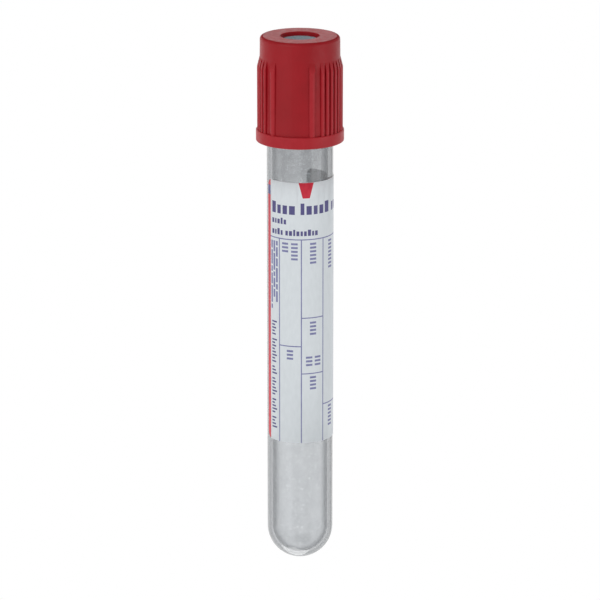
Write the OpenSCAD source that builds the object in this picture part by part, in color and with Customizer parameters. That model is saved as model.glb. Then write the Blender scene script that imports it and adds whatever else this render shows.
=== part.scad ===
// Capped blood collection tube, 13 x 100 mm: a clear round-bottomed tube, a rubber stopper,
// a ribbed shield over the stopper and a wrapped label. It stands on its head, because lying
// down it rolls: the flat top of the shield is at the base and the round end points up.

/* [Tube] */
// Outside diameter of the tube
tube_d = 13; // [11:0.5:16]
// Length of the tube from its round tip to its rim
tube_len = 100; // [90:1:130]
// Thickness of the tube's wall
wall = 1; // [0.7:0.1:1.5]
// Chamfer on both edges of the rim
rim_chamfer = 0.2; // [0.1:0.05:0.3]

/* [Shield] */
// Height of the shield
cap_h = 20.7; // [18:0.1:26]
// Radial gap between the shield's skirt and the tube
skirt_gap = 0.4; // [0.3:0.05:0.8]
// Wall of the shield at the foot of its ribs
cap_wall = 1.1; // [1:0.1:2]
// How much the shield's radius narrows from the foot of the ribs to the top edge
cap_draft = 0.2; // [0.1:0.05:0.3]
// Height of the smooth band above the ribs
band_h = 4; // [2.5:0.1:6]
// Radius of the top edge
top_round = 0.6; // [0.2:0.1:1]
// Thickness of the top plate
top_plate = 0.8; // [0.6:0.1:2]
// Diameter of the needle hole in the top plate
hole_d = 7.3; // [5:0.1:9]
// Chamfer round the needle hole
hole_chamfer = 0.2; // [0.1:0.05:0.4]
// Height of the smooth ring round the foot of the skirt
ring_h = 2.3; // [1.5:0.1:4]
// How far the ring stands out past the ribs
ring_step = 0.25; // [0.15:0.05:0.8]
// Radius on the ring's edges
ring_round = 0.2; // [0.1:0.05:0.3]
// Chamfer at the mouth of the skirt
mouth_chamfer = 0.3; // [0.1:0.05:0.6]
// Radial gap between the retaining lip and the tube
lip_gap = 0.15; // [0.1:0.05:0.25]
// Height of the retaining lip's straight part
lip_h = 0.6; // [0.4:0.1:1.2]

/* [Grip ribs] */
// Height of the ribs above the shield's wall
rib_h = 0.35; // [0.2:0.05:0.6]
// Width of a grip rib
rib_w = 0.74; // [0.5:0.02:0.9]
// Angle from one grip rib to the next
rib_pitch = 8.25; // [7.5:0.05:9]
// Number of grip ribs in one group
rib_count = 12; // [8:1:13]
// Width of the bolder rib at each side of a smooth panel
border_w = 1.18; // [0.8:0.02:1.5]
// Angle from a border rib to the nearest grip rib
border_pitch = 15.6; // [12:0.1:18]
// Length over which a rib's upper end slopes into the band
rib_run_out = 2; // [0.4:0.1:4]
// Number of smooth panels round the shield
panel_count = 2; // [1:1:2]
// Turn of the shield, from the front to the middle of a panel
panel_turn = -12; // [-180:1:180]

/* [Stopper] */
// How far the stopper's head reaches out past the tube
head_over = 0.5; // [0.3:0.05:0.7]
// Height of the stopper's head above the rim
head_h = 5.7; // [4:0.1:7]
// Length of the plug inside the tube
plug_len = 6.5; // [4:0.1:9]
// Radial clearance of the plug in the tube
plug_clearance = 0.05; // [0.02:0.01:0.1]
// Chamfer at the plug's lower edge
plug_chamfer = 0.5; // [0.2:0.1:0.8]
// Diameter of the hollow under the plug
hollow_d = 6.6; // [4:0.1:7]
// Thickness of rubber that the needle pierces
septum = 2.4; // [1.5:0.1:3]
// Diameter of the dish on top of the stopper
dish_d = 6.8; // [4:0.1:8]
// Depth of the dish
dish_depth = 1.1; // [0.5:0.1:1.5]

/* [Label] */
// Width of the label round the tube
label_w = 26.9; // [20:0.1:32]
// Height of the label along the tube
label_h = 53; // [40:0.5:65]
// Thickness of the label
label_t = 0.08; // [0.05:0.01:0.15]
// Radius of the label's corners
label_corner = 1.5; // [0.5:0.1:3]
// Bare length of tube between the shield and the label
label_gap = 7.1; // [3:0.1:10]
// Turn of the label, from the front to its left edge
label_turn = -70; // [-180:0.5:180]

/* [Smoothness] */
// Facets of a full circle
$fn = 96; // [48:8:160]

/* [Hidden] */

// How deep a rib is rooted in the wall behind it
root = 0.3;
// Steps in a rounded edge
edge_steps = 5;
// Dome of a rib's crest, as a share of its width
crest_share = 0.7;

tube_r = tube_d / 2;
bore_r = tube_r - wall;

// Heights along the tube, from its round tip
rim_z = tube_len;
cap_top_z = rim_z + head_h + top_plate;
cap_foot_z = cap_top_z - cap_h;
label_top_z = cap_foot_z - label_gap;

// Radii of the shield
skirt_r = tube_r + skirt_gap;
lip_r = tube_r + lip_gap;
head_r = tube_r + head_over;
foot_r = skirt_r + cap_wall;
top_r = foot_r - cap_draft;
crest_r = foot_r + rib_h;
ring_r = crest_r + ring_step;
hole_r = hole_d / 2;

// Heights in the shield, from its foot
seat_z = rim_z - cap_foot_z;
plate_z = cap_h - top_plate;
band_z = cap_h - band_h;

// One group of ribs and one panel fill an equal share of the turn
group_turn = 360 / panel_count;
ribs_turn = (rib_count - 1) * rib_pitch + 2 * border_pitch;

// Radius of the shield's tapered wall at a height from its foot
function wall_r(z) = foot_r - cap_draft * (z - ring_h) / (cap_h - top_round - ring_h);

function arc(centre, radius, from, to) =
    [for (i = [0 : edge_steps])
        centre + radius * [cos(from + (to - from) * i / edge_steps), sin(from + (to - from) * i / edge_steps)]];

// Turns what stands on the tube's tip over, to stand on the shield
module stand_on_head() {
    translate([0, 0, cap_top_z])
        rotate([0, 180, 0])
            children();
}

// Turns what lies along +X to an angle that is counted from the front towards +X
module face(angle) {
    rotate(angle - 90)
        children();
}

// The straight wall and the round end, as one turned section
module tube() {
    color([0.84, 0.88, 0.9, 0.4])
        stand_on_head()
            rotate_extrude() {
                polygon([
                    [bore_r, tube_r],
                    [tube_r, tube_r],
                    [tube_r, rim_z - rim_chamfer],
                    [tube_r - rim_chamfer, rim_z],
                    [bore_r + rim_chamfer, rim_z],
                    [bore_r, rim_z - rim_chamfer]
                ]);
                translate([0, tube_r])
                    intersection() {
                        difference() {
                            circle(tube_r);
                            circle(bore_r);
                        }
                        translate([0, -tube_d])
                            square(tube_d);
                    }
            }
}

// Wall, top plate, ring and retaining lip of the shield, as one turned section
module shield_wall() {
    rotate_extrude()
        polygon(concat(
            [[skirt_r + mouth_chamfer, 0]],
            arc([ring_r - ring_round, ring_round], ring_round, -90, 0),
            arc([ring_r - ring_round, ring_h - ring_round], ring_round, 0, 90),
            [[foot_r, ring_h]],
            arc([top_r - top_round, cap_h - top_round], top_round, 0, 90),
            [
                [hole_r + hole_chamfer, cap_h],
                [hole_r, cap_h - hole_chamfer],
                [hole_r, plate_z],
                [head_r, plate_z],
                [head_r, seat_z],
                [lip_r, seat_z],
                [lip_r, seat_z - lip_h],
                [skirt_r, seat_z - lip_h - (skirt_r - lip_r)],
                [skirt_r, mouth_chamfer]
            ]
        ));
}

// An upright rib with a domed crest, rooted in the wall and the ring
module rib(width) {
    dome_r = width * crest_share;
    intersection() {
        translate([top_r - root, -width / 2, ring_h - ring_round])
            cube([ring_r - top_r + root, width, cap_h - top_round - ring_h]);
        translate([crest_r - dome_r, 0, 0])
            cylinder(h = cap_h, r = dome_r, $fn = 48);
    }
}

module rib_group() {
    for (i = [0 : rib_count - 1])
        rotate((i - (rib_count - 1) / 2) * rib_pitch)
            rib(rib_w);
    for (side = [-1, 1])
        rotate(side * ribs_turn / 2)
            rib(border_w);
}

// All that lies under the slope in which the ribs' upper ends run out
module rib_envelope() {
    slope = rib_run_out / (crest_r - wall_r(band_z));
    rotate_extrude()
        polygon([
            [0, 0],
            [ring_r, 0],
            [ring_r, band_z - slope * (ring_r - wall_r(band_z))],
            [top_r - root, band_z + slope * (wall_r(band_z) - top_r + root)],
            [0, band_z + slope * (wall_r(band_z) - top_r + root)]
        ]);
}

module cap() {
    color([0.74, 0.06, 0.09])
        stand_on_head()
            translate([0, 0, cap_foot_z])
                face(panel_turn) {
                    shield_wall();
                    intersection() {
                        for (i = [0 : panel_count - 1])
                            rotate((i + 0.5) * group_turn)
                                rib_group();
                        rib_envelope();
                    }
                }
}

module stopper() {
    plug_r = bore_r - plug_clearance;
    hollow_r = hollow_d / 2;
    dish_r = dish_d / 2;
    dish_ball_r = (dish_r * dish_r + dish_depth * dish_depth) / (2 * dish_depth);
    head_top = rim_z + head_h;
    hollow_top = head_top - dish_depth - septum;
    color([0.46, 0.52, 0.55])
        stand_on_head()
            difference() {
                rotate_extrude()
                    polygon([
                        [0, hollow_top],
                        [hollow_r - plug_chamfer, hollow_top],
                        [hollow_r, hollow_top - plug_chamfer],
                        [hollow_r, rim_z - plug_len],
                        [plug_r - plug_chamfer, rim_z - plug_len],
                        [plug_r, rim_z - plug_len + plug_chamfer],
                        [plug_r, rim_z],
                        [head_r, rim_z],
                        [head_r, head_top],
                        [0, head_top]
                    ]);
                translate([0, 0, head_top - dish_depth + dish_ball_r])
                    sphere(dish_ball_r);
            }
}

// What lies outside a corner's round, on one side of its centre and above or below it
module corner_cut(side, up) {
    difference() {
        translate([0, (side - 1) * label_corner, (up - 1) * label_corner])
            cube([tube_d, 2 * label_corner, 2 * label_corner]);
        rotate([0, 90, 0])
            cylinder(h = 3 * tube_d, r = label_corner, center = true);
    }
}

module label() {
    label_sweep = label_w / tube_r * 180 / PI;
    corner_sweep = label_corner / tube_r * 180 / PI;
    color([0.93, 0.94, 0.96])
        stand_on_head()
            translate([0, 0, label_top_z - label_h / 2])
                face(label_turn + label_sweep / 2)
                    difference() {
                        rotate(-label_sweep / 2)
                            rotate_extrude(angle = label_sweep)
                                translate([tube_r, -label_h / 2])
                                    square([label_t, label_h]);
                        for (side = [-1, 1])
                            for (up = [-1, 1])
                                rotate(side * (label_sweep / 2 - corner_sweep))
                                    translate([0, 0, up * (label_h / 2 - label_corner)])
                                        corner_cut(side, up);
                    }
}

tube();
stopper();
cap();
label();
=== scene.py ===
"""Dresses the capped blood collection tube: clear plastic, a ribbed red shield, a grey
rubber stopper and a printed label. The part stands on its head, and the camera is turned
over with it, so its view has the closure at the top."""
import itertools
import math

import bmesh
import bpy
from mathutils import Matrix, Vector


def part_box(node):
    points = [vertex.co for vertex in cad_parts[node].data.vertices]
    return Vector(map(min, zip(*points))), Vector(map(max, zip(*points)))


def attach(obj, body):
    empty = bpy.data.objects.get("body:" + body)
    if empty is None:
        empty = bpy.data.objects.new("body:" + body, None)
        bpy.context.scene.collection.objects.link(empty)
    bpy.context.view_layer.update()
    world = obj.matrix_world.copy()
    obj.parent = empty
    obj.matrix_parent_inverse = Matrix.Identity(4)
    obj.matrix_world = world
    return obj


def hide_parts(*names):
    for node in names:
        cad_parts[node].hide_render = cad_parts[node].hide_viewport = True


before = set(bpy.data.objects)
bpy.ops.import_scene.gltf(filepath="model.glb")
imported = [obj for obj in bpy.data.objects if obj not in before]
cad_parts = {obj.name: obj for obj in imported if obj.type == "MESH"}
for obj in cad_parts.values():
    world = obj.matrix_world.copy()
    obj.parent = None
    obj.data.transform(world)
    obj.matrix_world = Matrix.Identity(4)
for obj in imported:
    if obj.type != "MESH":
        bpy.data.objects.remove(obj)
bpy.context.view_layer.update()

MM = 0.001
TUBE_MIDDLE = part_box("tube")[0].lerp(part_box("tube")[1], 0.5)
TUBE_R = -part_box("tube")[0].x
RING_R = -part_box("cap")[0].x
PART_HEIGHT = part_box("tube")[1].z

# Label, in millimetres: its width runs round the tube and its height along it
LABEL_W = 26.9
LABEL_H = 53.0
LABEL_T = 0.07
LABEL_CORNER = 1.5
LABEL_LIFT = 0.012
LABEL_TURN = math.radians(-70)
LABEL_STRIPS = 80
CORNER_CUTS = 6
LABEL_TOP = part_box("label")[0].z

# How near to a cut a corner counts as on it, in millimetres
CUT_REACH = 1e-6
# Faces of the thick sheet whose middle is higher are its front, and faces whose normal
# stands up less than this are its edges
FRONT_LEVEL = 0.9 * LABEL_T
EDGE_TILT = 0.5

# Fields of the label, in the order of its materials
STOCK, INK, PALE_INK, RED, BACK = range(5)

# Directions on the flat sheet
ACROSS = (1, 0)
DOWN = (0, 1)

# All print is in millimetres from the label's left and top edges: the stripe down the left
# edge, the top and foot of the dark mark on it, the width of a rule, and the wedge
STRIPE_W = 1.09
STRIPE_MARK = (1.2, 3.1)
RULE_W = 0.22
WEDGE_MIDDLE = 9.16
WEDGE_TOP_W = 3.0
WEDGE_FOOT_W = 1.4
WEDGE_H = 3.1

# Heading and small lines: left, top, height, and the number of blocks in each word
HEADING = (
    (1.7, 4.1, 2.3, (4, 5, 4)),
    (1.7, 7.2, 1.25, (5,)),
    (1.7, 9.4, 1.25, (4, 9)),
    (18.9, 9.6, 1.25, (4, 3)),
)
# Widths and heights that the blocks take in turn, and their gaps, as shares of the line's height
BLOCK_WIDTHS = (0.46, 0.36, 0.42, 0.5, 0.32)
BLOCK_HEIGHTS = (1.0, 0.76, 0.76, 0.76)
BLOCK_GAP = 0.18
WORD_GAP = 0.3

# Form: its top rule, the rules left of its columns, and its cross rules, each with the
# number of its column and how far down it is
GRID_TOP = 11.3
COLUMNS = (3.56, 8.1, 12.72, 17.39, 22.08)
CROSS_RULES = ((0, 33.0), (1, 27.2), (1, 38.6), (2, 45.3), (3, 39.0))

# Captions, turned on their side: left, top and number of bars
CAPTION_W = 1.3
CAPTION_BAR = 0.42
CAPTION_PITCH = 0.76
CAPTIONS = (
    (4.3, 12.1, 3), (6.2, 12.1, 5), (5.3, 33.9, 3),
    (9.9, 12.1, 6), (9.9, 28.1, 4), (9.1, 35.2, 3), (10.9, 35.2, 3), (9.9, 39.3, 4),
    (14.4, 12.1, 8), (14.4, 46.0, 6),
    (18.6, 12.1, 4), (20.3, 12.1, 3), (19.5, 39.8, 3),
    (23.2, 12.1, 4), (24.8, 12.1, 3), (24.0, 45.4, 7),
)

# Fine print, in lines down the label: left, the first word's number and lowest end
FINE_TOP = GRID_TOP + 0.8
FINE_LINES = ((1.35, 0, 27.4), (2.06, 3, 26.2), (2.77, 5, 27.2))
FINE_W = 0.48
FINE_WORDS = (1.6, 2.9, 1.1, 2.2, 3.4, 0.9, 1.9)
FINE_GAP = 0.36

# Note below the fine print: left, top, and the number of bars in each word
NOTE = (1.6, 28.4, (5, 8, 3, 6, 5, 4))
NOTE_WIDTHS = (1.4, 0.9, 1.2, 0.8, 1.1)
NOTE_BAR = 0.32
NOTE_PITCH = 0.64
NOTE_GAP = 0.5

# Camera: aimed at the middle of the part from 16 degrees on the closure's side, this far
# away in metres, with a lens of so many millimetres
VIEW_ANGLE = math.radians(16)
VIEW_DISTANCE = 0.75
VIEW_LENS = 228

# Floor, in metres: half its side, where it starts to fade into the white, and where it ends
FLOOR_HALF = 1.5
FLOOR_FADE = 0.06
FLOOR_EDGE = 0.35
FLOOR_GREY = (0.9, 0.9, 0.9, 1)

# White to look at, and the softer fill that lights the part
WHITE = (1, 1, 1, 1)
BACKDROP_STRENGTH = 1.0
FILL_STRENGTH = 0.6

# Lamps: name, place and width in metres, power in watts, and whether it leaves a highlight
LAMPS = (
    ("key", (0.42, -0.5, -0.2), 0.5, 1.4, True),
    ("side", (-0.5, -0.3, 0.05), 0.4, 0.5, True),
    ("overhead", (0.1, 0.15, 0.75), 0.5, 1.5, True),
    ("behind", (0.2, 0.55, 0.15), 0.4, 2.6, False),
)

# Numbers of a Mix node's colour sockets: its two inputs and its result
MIX_FIRST, MIX_SECOND, MIX_RESULT = 6, 7, 2


def srgb(red, green, blue):
    """A shader colour from the eight-bit values of a painter's swatch."""
    def linear(value):
        share = value / 255
        return share / 12.92 if share <= 0.04045 else ((share + 0.055) / 1.055) ** 2.4
    return (linear(red), linear(green), linear(blue), 1.0)


# ---------------------------------------------------------------- building blocks

def add_object(name, data):
    """Puts a mesh, a lamp or a camera into the scene."""
    thing = bpy.data.objects.new(name, data)
    bpy.context.scene.collection.objects.link(thing)
    return thing


def add_sheet(name, sheet, materials):
    """Puts a sheet that is finished into the scene, with the materials of its fields."""
    mesh = bpy.data.meshes.new(name)
    sheet.to_mesh(mesh)
    sheet.free()
    for material in materials:
        mesh.materials.append(material)
    return add_object(name, mesh)


class Tree:
    """The nodes of a material or a world, and short ways to add to them. Wherever a node is
    fed, the value is a plain one or another node's output."""

    def __init__(self, owner):
        owner.use_nodes = True
        self.nodes = owner.node_tree.nodes
        self.links = owner.node_tree.links

    def feed(self, node, inputs):
        """Gives values to a node's inputs, each by its name or number."""
        for key, value in inputs.items():
            if isinstance(value, bpy.types.NodeSocket):
                self.links.new(value, node.inputs[key])
            else:
                node.inputs[key].default_value = value

    def add(self, kind, inputs=None, **settings):
        """A new node with these settings and inputs."""
        node = self.nodes.new(kind)
        for name, setting in settings.items():
            setattr(node, name, setting)
        self.feed(node, inputs or {})
        return node

    def combine(self, operation, first, second=0.0):
        """A sum, a product or the like of two values."""
        return self.add("ShaderNodeMath", {0: first, 1: second}, operation=operation).outputs[0]

    def remap(self, value, low, high, new_low=0.0, new_high=1.0, easing="LINEAR"):
        """Stretches low to high out to new_low to new_high, and stops at both."""
        inputs = {"Value": value, "From Min": low, "From Max": high, "To Min": new_low, "To Max": new_high}
        return self.add("ShaderNodeMapRange", inputs, interpolation_type=easing).outputs["Result"]

    def blend(self, share, first, second):
        """Goes from the first colour to the second as share goes from 0 to 1."""
        inputs = {"Factor": share, MIX_FIRST: first, MIX_SECOND: second}
        return self.add("ShaderNodeMix", inputs, data_type="RGBA").outputs[MIX_RESULT]

    def mix(self, share, first, second):
        """Goes from the first shader to the second as share goes from 0 to 1."""
        return self.add("ShaderNodeMixShader", {0: share, 1: first, 2: second}).outputs[0]

    def see_through(self, tint=WHITE):
        """A shader that lets light straight through."""
        return self.add("ShaderNodeBsdfTransparent", {"Color": tint}).outputs[0]

    def place(self):
        """Where a point lies in its piece's own frame, in metres."""
        return self.add("ShaderNodeTexCoord").outputs["Object"]

    def either_ray(self, *kinds):
        """1 for the rays of any of these kinds."""
        path = self.add("ShaderNodeLightPath")
        total = path.outputs[kinds[0]]
        for kind in kinds[1:]:
            total = self.combine("MAXIMUM", total, path.outputs[kind])
        return total

    def seen_rays(self):
        """1 for the rays that show a surface: straight, in gloss or through clear plastic."""
        return self.either_ray("Is Camera Ray", "Is Glossy Ray", "Is Transmission Ray")

    def show(self, shader, output="Material Output"):
        """Makes this shader the one that is rendered."""
        self.feed(self.nodes[output], {"Surface": shader})


class Finish(Tree):
    """A material with one principled shader, and the patterns and measures that vary it."""

    def __init__(self, name):
        self.material = bpy.data.materials.new(name)
        super().__init__(self.material)
        self.shader = self.nodes["Principled BSDF"]

    def set(self, inputs):
        """Gives values to the shader's own inputs."""
        self.feed(self.shader, inputs)

    def noise(self, cells, detail, stretch=(1, 1, 1)):
        """Noise of so many cells a metre, stretched along the axes."""
        mapping = self.add("ShaderNodeMapping", {"Vector": self.place(), "Scale": stretch})
        inputs = {"Vector": mapping.outputs["Vector"], "Scale": cells, "Detail": detail}
        return self.add("ShaderNodeTexNoise", inputs).outputs["Fac"]

    def along(self, axis):
        """How far a point lies along an axis, in metres."""
        return self.add("ShaderNodeSeparateXYZ", {0: self.place()}).outputs[axis]

    def radius(self):
        """Distance from the tube's axis, in metres."""
        across = self.combine("POWER", self.along("X"), 2.0)
        deep = self.combine("POWER", self.along("Y"), 2.0)
        return self.combine("SQRT", self.combine("ADD", across, deep))

    def facing(self, blend):
        """0 where the surface faces the eye, 1 where it is seen edge on."""
        return self.add("ShaderNodeLayerWeight", {"Blend": blend}).outputs["Facing"]

    def let_light_through(self, tint):
        """Lets lamps and soft light shine through the clear wall, slightly dimmed."""
        unseen = self.either_ray("Is Shadow Ray", "Is Diffuse Ray")
        self.show(self.mix(unseen, self.shader.outputs[0], self.see_through(tint)))

    def bump(self, heights, distance, strength):
        """Roughens the surface by a pattern of this depth in metres."""
        inputs = {"Height": heights, "Distance": distance, "Strength": strength}
        self.set({"Normal": self.add("ShaderNodeBump", inputs).outputs["Normal"]})


# ---------------------------------------------------------------- finishes

# Pairs of swatches that a finish blends between
# The dim clear pair is painted shade: the plastic as it looks in the shield's shadow
CLEAR_PAINTED_SHADE = (srgb(176, 178, 180), srgb(200, 202, 204))
CLEAR_BRIGHT = (srgb(206, 208, 210), srgb(226, 228, 230))
RED_BODY = (srgb(147, 10, 21), srgb(160, 14, 27))
RUBBER = (srgb(130, 146, 154), srgb(152, 165, 171))
STOCK_WHITE = (srgb(223, 229, 233), srgb(227, 233, 237))
INK_BLUE = (srgb(86, 83, 130), srgb(98, 95, 142))
PALE_INK_BLUE = (srgb(126, 128, 170), srgb(138, 140, 180))
PRINT_RED = (srgb(196, 44, 62), srgb(206, 54, 70))
# The label's back is plain white, made lighter than the stock as painted light that stands in for light
# shining through the paper
BACK_WHITE_AND_PAINTED_LIGHT = (srgb(243, 246, 248), srgb(249, 251, 252))

# Single swatches
MIST_WHITE = srgb(248, 249, 250)
LIMB_GREY = srgb(113, 116, 119)
CLEAR_TINT = srgb(252, 253, 253)
# Lighter red of the crests: partly wear, partly painted highlight
WORN_AND_HIGHLIT_RED = srgb(172, 32, 42)

# Heights between which the clear plastic goes from dim to bright: the dim is painted shade under the
# shield
PAINTED_SHADE_END = 20 * MM
LIGHT_START = 50 * MM
# Depths in the tube's wall between which the mist sets in
MIST_START = 0.45 * MM
MIST_FULL = 0.6 * MM
# Roughness of the bare plastic, and what the full mist adds to it
CLEAR_ROUGHNESS = 0.02
MIST_ROUGHNESS = 0.16
# Depths below the shield's ring of the grooves, where the wear and painted highlight start, and of the
# crests
GROOVE_DEPTH = 0.65 * MM
CREST_DEPTH = 0.25 * MM
# How much rougher than its smoothest places the label is at most
LABEL_SPREAD = 0.1


def clear_plastic():
    """Moulded clear plastic, greyer near the closure by painted shade under the shield, greyer at its
    limbs, with a faint mist inside.
    """
    finish = Finish("clear_plastic")
    finish.set({"IOR": 1.57, "Transmission Weight": 1.0})
    streaks = finish.remap(finish.noise(cells=260, detail=2.0, stretch=(1, 1, 0.04)), low=0.32, high=0.68)
    painted_shade = finish.blend(streaks, *CLEAR_PAINTED_SHADE)
    bright = finish.blend(streaks, *CLEAR_BRIGHT)
    # Painted shade: the plastic goes greyer towards the closure, as in the shield's shadow
    body = finish.blend(finish.remap(finish.along("Z"), PAINTED_SHADE_END, LIGHT_START), painted_shade, bright)
    inside = finish.remap(finish.radius(), TUBE_R - MIST_START, TUBE_R - MIST_FULL)
    haze = finish.remap(finish.noise(cells=400, detail=2.0), low=0.4, high=0.7, new_high=0.3)
    specks = finish.remap(finish.noise(cells=1700, detail=1.0), low=0.62, high=0.7, new_high=0.8)
    mist = finish.combine("MULTIPLY", inside, finish.combine("MAXIMUM", haze, specks))
    body = finish.blend(mist, body, MIST_WHITE)
    limb = finish.remap(finish.facing(blend=0.35), low=0.26, high=0.44)
    roughness = finish.combine("ADD", CLEAR_ROUGHNESS, finish.combine("MULTIPLY", mist, MIST_ROUGHNESS))
    finish.set({"Base Color": finish.blend(limb, body, LIMB_GREY), "Roughness": roughness})
    ripple = finish.noise(cells=150, detail=2.0, stretch=(1, 1, 0.1))
    finish.bump(ripple, distance=0.03 * MM, strength=0.3)
    finish.let_light_through(CLEAR_TINT)
    return finish.material


def red_plastic():
    """Satin red plastic, lighter on the crests by wear and a painted highlight, so that the grooves stay
    darker as painted shade.
    """
    finish = Finish("red_plastic")
    finish.set({"IOR": 1.45, "Specular IOR Level": 0.3})
    cloud = finish.remap(finish.noise(cells=130, detail=4.0), low=0.3, high=0.7)
    # Crests lighter in patches by wear and painted highlight; the grooves keep the darker red as painted
    # shade
    crest = finish.remap(finish.radius(), RING_R - GROOVE_DEPTH, RING_R - CREST_DEPTH)
    wear_and_glare_patches = finish.remap(finish.noise(cells=900, detail=3.0), low=0.35, high=0.65, new_low=0.7)
    wear_and_highlight = finish.combine("MULTIPLY", crest, wear_and_glare_patches)
    colour = finish.blend(wear_and_highlight, finish.blend(cloud, *RED_BODY), WORN_AND_HIGHLIT_RED)
    patches = finish.noise(cells=700, detail=4.0)
    roughness = finish.remap(patches, low=0.3, high=0.7, new_low=0.34, new_high=0.48)
    finish.set({"Base Color": colour, "Roughness": roughness})
    finish.bump(finish.noise(cells=2400, detail=3.0), distance=0.02 * MM, strength=0.5)
    return finish.material


def grey_rubber():
    """Matt grey-blue rubber with a dusting of fine talc."""
    finish = Finish("grey_rubber")
    talc = finish.remap(finish.noise(cells=2600, detail=5.0), low=0.4, high=0.72)
    patches = finish.noise(cells=900, detail=3.0)
    roughness = finish.remap(patches, low=0.3, high=0.7, new_low=0.6, new_high=0.78)
    finish.set({"Base Color": finish.blend(talc, *RUBBER), "Roughness": roughness})
    finish.bump(finish.noise(cells=3200, detail=3.0), distance=0.03 * MM, strength=0.6)
    return finish.material


def label_finish(name, swatches, smoothest):
    """Satin label stock, bare or inked, with its fine fibre."""
    finish = Finish(name)
    fibre = finish.noise(cells=1500, detail=4.0, stretch=(1, 1, 0.4))
    colour = finish.blend(finish.remap(fibre, low=0.35, high=0.65), *swatches)
    patches = finish.noise(cells=260, detail=3.0)
    roughest = smoothest + LABEL_SPREAD
    roughness = finish.remap(patches, low=0.3, high=0.7, new_low=smoothest, new_high=roughest)
    finish.set({"Base Color": colour, "Roughness": roughness, "Specular IOR Level": 0.2})
    finish.bump(fibre, distance=0.01 * MM, strength=0.5)
    return finish.material


def label_finishes():
    """The finishes of the label's fields, in their order."""
    return (
        label_finish("label_stock", STOCK_WHITE, 0.38),
        label_finish("label_ink", INK_BLUE, 0.34),
        label_finish("label_pale_ink", PALE_INK_BLUE, 0.36),
        label_finish("label_red", PRINT_RED, 0.34),
        # The bare back, lightened as painted light for the light through the paper
        label_finish("label_back", BACK_WHITE_AND_PAINTED_LIGHT, 0.5),
    )


# ---------------------------------------------------------------- label

def cut_across(sheet, faces, point, normal, outer=False):
    """Cuts these faces of the sheet along a line, and drops what lies beyond it if asked."""
    edges = {edge for face in faces for edge in face.edges}
    corners = {corner for face in faces for corner in face.verts}
    bmesh.ops.bisect_plane(sheet, geom=[*corners, *edges, *faces], dist=CUT_REACH,
                           plane_co=(*point, 0), plane_no=(*normal, 0), clear_outer=outer)


def faces_near(sheet, left, top, right, foot):
    """The faces that reach into a box on the flat sheet."""
    found = []
    for face in sheet.faces:
        across = [corner.co.x for corner in face.verts]
        down = [corner.co.y for corner in face.verts]
        if min(across) < right and max(across) > left and min(down) < foot and max(down) > top:
            found.append(face)
    return found


def print_bar(sheet, field, left, top, right, foot):
    """Prints one upright bar: its edges are cut and its faces get the field's material."""
    for point, normal in (((left, 0), ACROSS), ((right, 0), ACROSS), ((0, top), DOWN), ((0, foot), DOWN)):
        cut_across(sheet, faces_near(sheet, left, top, right, foot), point, normal)
    for face in faces_near(sheet, left, top, right, foot):
        middle = face.calc_center_median()
        if left < middle.x < right and top < middle.y < foot:
            face.material_index = field


def print_wedge(sheet):
    """Prints the red wedge that hangs from the label's top edge."""
    box = (WEDGE_MIDDLE - WEDGE_TOP_W / 2, 0, WEDGE_MIDDLE + WEDGE_TOP_W / 2, WEDGE_H)
    print_bar(sheet, RED, *box)
    lean = (WEDGE_TOP_W - WEDGE_FOOT_W) / 2
    for side in (-1, 1):
        point = Vector((WEDGE_MIDDLE + side * WEDGE_TOP_W / 2, 0))
        normal = Vector((side * WEDGE_H, lean))
        inked = [face for face in faces_near(sheet, *box) if face.material_index == RED]
        cut_across(sheet, inked, point, normal)
        for face in faces_near(sheet, *box):
            if (face.calc_center_median().xy - point).dot(normal) > 0:
                face.material_index = STOCK


def print_heading(sheet):
    """Prints lines of plain upright blocks for the heading and the small lines under it. The
    blocks stand on the line's foot."""
    widths = itertools.cycle(BLOCK_WIDTHS)
    heights = itertools.cycle(BLOCK_HEIGHTS)
    for left, top, height, words in HEADING:
        for blocks in words:
            for _ in range(blocks):
                width = next(widths) * height
                block_top = top + (1 - next(heights)) * height
                print_bar(sheet, INK, left, block_top, left + width, top + height)
                left += width + BLOCK_GAP * height
            left += WORD_GAP * height


def print_form(sheet):
    """Prints the write-on form: its rules and its short captions."""
    right_edge = (*COLUMNS[1:], LABEL_W)
    print_bar(sheet, PALE_INK, STRIPE_W, GRID_TOP, LABEL_W, GRID_TOP + RULE_W)
    for column in COLUMNS:
        print_bar(sheet, PALE_INK, column, GRID_TOP, column + RULE_W, LABEL_H)
    for column, down in CROSS_RULES:
        print_bar(sheet, PALE_INK, COLUMNS[column], down, right_edge[column], down + RULE_W)
    for across, down, bars in CAPTIONS:
        for step in range(bars):
            top = down + step * CAPTION_PITCH
            print_bar(sheet, PALE_INK, across, top, across + CAPTION_W, top + CAPTION_BAR)


def print_fine_lines(sheet):
    """Prints the lines of fine print in the first column, and the note below them."""
    for start, word, foot in FINE_LINES:
        top = FINE_TOP
        while top + FINE_WORDS[word] < foot:
            print_bar(sheet, PALE_INK, start, top, start + FINE_W, top + FINE_WORDS[word])
            top += FINE_WORDS[word] + FINE_GAP
            word = (word + 1) % len(FINE_WORDS)
    start, top, words = NOTE
    widths = itertools.cycle(NOTE_WIDTHS)
    for bars in words:
        for _ in range(bars):
            print_bar(sheet, INK, start, top, start + next(widths), top + NOTE_BAR)
            top += NOTE_PITCH
        top += NOTE_GAP


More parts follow.
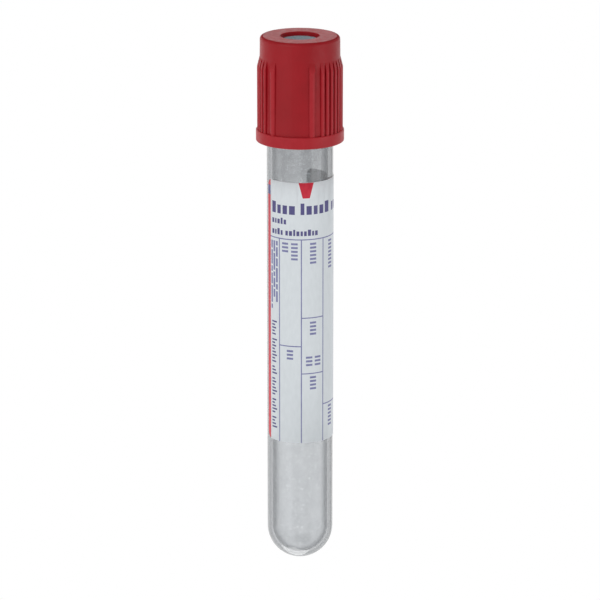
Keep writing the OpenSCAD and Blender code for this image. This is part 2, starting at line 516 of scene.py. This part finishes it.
def round_corners(sheet):
    """Cuts the sheet's corners to a round, by lines that touch it."""
    for side in (0, 1):
        for down in (0, 1):
            centre = Vector((LABEL_CORNER + side * (LABEL_W - 2 * LABEL_CORNER),
                             LABEL_CORNER + down * (LABEL_H - 2 * LABEL_CORNER)))
            for step in range(CORNER_CUTS):
                turn = (step + 0.5) / CORNER_CUTS * math.pi / 2
                outward = Vector(((2 * side - 1) * math.cos(turn), (2 * down - 1) * math.sin(turn)))
                cut_across(sheet, sheet.faces[:], centre + outward * LABEL_CORNER, outward, outer=True)


def thicken(sheet):
    """Gives the flat sheet its thickness. Its front keeps the print, and its back and edges
    are bare."""
    front = bmesh.ops.extrude_face_region(sheet, geom=sheet.faces[:])["geom"]
    corners = [part for part in front if isinstance(part, bmesh.types.BMVert)]
    bmesh.ops.translate(sheet, vec=(0, 0, LABEL_T), verts=corners)
    for face in sheet.faces:
        if face.calc_center_median().z < FRONT_LEVEL:
            face.material_index = BACK
        face.smooth = abs(face.normal.z) > EDGE_TILT


def wrap(sheet):
    """Bends the flat sheet round the tube, with the top edge towards the closure."""
    for corner in sheet.verts:
        across, down, thick = corner.co
        turn = LABEL_TURN + across * MM / TUBE_R
        reach = TUBE_R + (LABEL_LIFT + thick) * MM
        corner.co = (-reach * math.sin(turn), -reach * math.cos(turn), LABEL_TOP + down * MM)


def printed_label():
    """The label as a thin sheet with its fields of print, wrapped round the tube."""
    sheet = bmesh.new()
    bmesh.ops.create_grid(sheet, x_segments=LABEL_STRIPS, y_segments=1, size=0.5)
    bmesh.ops.translate(sheet, verts=sheet.verts, vec=(0.5, 0.5, 0))
    bmesh.ops.scale(sheet, verts=sheet.verts, vec=(LABEL_W, LABEL_H, 1))
    print_bar(sheet, RED, 0, 0, STRIPE_W, LABEL_H)
    print_bar(sheet, INK, 0, STRIPE_MARK[0], STRIPE_W, STRIPE_MARK[1])
    print_wedge(sheet)
    print_heading(sheet)
    print_form(sheet)
    print_fine_lines(sheet)
    round_corners(sheet)
    thicken(sheet)
    wrap(sheet)
    bmesh.ops.recalc_face_normals(sheet, faces=sheet.faces)
    label = add_sheet("printed_label", sheet, label_finishes())
    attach(label, "tube_body")
    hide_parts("label")


# ---------------------------------------------------------------- moulded pieces

def dress(node, material):
    """Gives a moulded piece its finish."""
    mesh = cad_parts[node].data
    mesh.materials.clear()
    mesh.materials.append(material)


# ---------------------------------------------------------------- stage

def floor():
    """A plain pale floor that fades into the white all round. It is seen from above only,
    so the camera below it looks through."""
    sheet = bmesh.new()
    bmesh.ops.create_grid(sheet, x_segments=1, y_segments=1, size=FLOOR_HALF)
    plane = add_sheet("floor", sheet, [floor_finish()])


def floor_finish():
    """Pale and matt for the rays that show it, but clear from below and past its edge."""
    material = bpy.data.materials.new("floor")
    tree = Tree(material)
    tree.nodes.remove(tree.nodes["Principled BSDF"])
    pale = tree.add("ShaderNodeBsdfDiffuse", {"Color": FLOOR_GREY}).outputs[0]
    below = tree.add("ShaderNodeNewGeometry").outputs["Backfacing"]
    above = tree.combine("SUBTRACT", tree.seen_rays(), below)
    reach = tree.add("ShaderNodeVectorMath", {0: tree.place()}, operation="LENGTH").outputs["Value"]
    near = tree.remap(reach, FLOOR_FADE, FLOOR_EDGE, new_low=1, new_high=0, easing="SMOOTHSTEP")
    tree.show(tree.mix(tree.combine("MULTIPLY", above, near), tree.see_through(), pale))
    return material


def studio():
    """White all round to look at, and a softer fill that lights the part."""
    world = bpy.data.worlds.new("studio")
    bpy.context.scene.world = world
    tree = Tree(world)
    fill = tree.nodes["Background"]
    tree.feed(fill, {"Color": WHITE, "Strength": FILL_STRENGTH})
    backdrop = tree.add("ShaderNodeBackground", {"Color": WHITE, "Strength": BACKDROP_STRENGTH})
    shader = tree.mix(tree.seen_rays(), fill.outputs[0], backdrop.outputs[0])
    tree.show(shader, output="World Output")


def lamp(name, place, width, power, shine):
    """A soft square lamp that faces the middle of the tube, and isn't seen through it. With
    no shine, it leaves no highlight either."""
    data = bpy.data.lights.new(name, "AREA")
    data.size = width
    data.energy = power
    light = add_object(name, data)
    light.visible_camera = False
    light.visible_transmission = False
    light.visible_glossy = shine
    light.location = place
    light.rotation_euler = (TUBE_MIDDLE - Vector(place)).to_track_quat("-Z", "Y").to_euler()


def camera():
    """Turned over as the part is: it looks from the closure's side, from below the floor."""
    data = bpy.data.cameras.new("camera")
    data.lens = VIEW_LENS
    view = add_object("camera", data)
    back = Vector((0, -math.cos(VIEW_ANGLE), -math.sin(VIEW_ANGLE)))
    view.location = Vector((0, 0, PART_HEIGHT / 2)) + back * VIEW_DISTANCE
    view.rotation_euler = (math.pi / 2 - VIEW_ANGLE, math.pi, 0)
    bpy.context.scene.camera = view


bpy.context.scene.view_settings.view_transform = "Standard"
dress("tube", clear_plastic())
dress("cap", red_plastic())
dress("stopper", grey_rubber())
printed_label()
floor()
studio()
for settings in LAMPS:
    lamp(*settings)
camera()
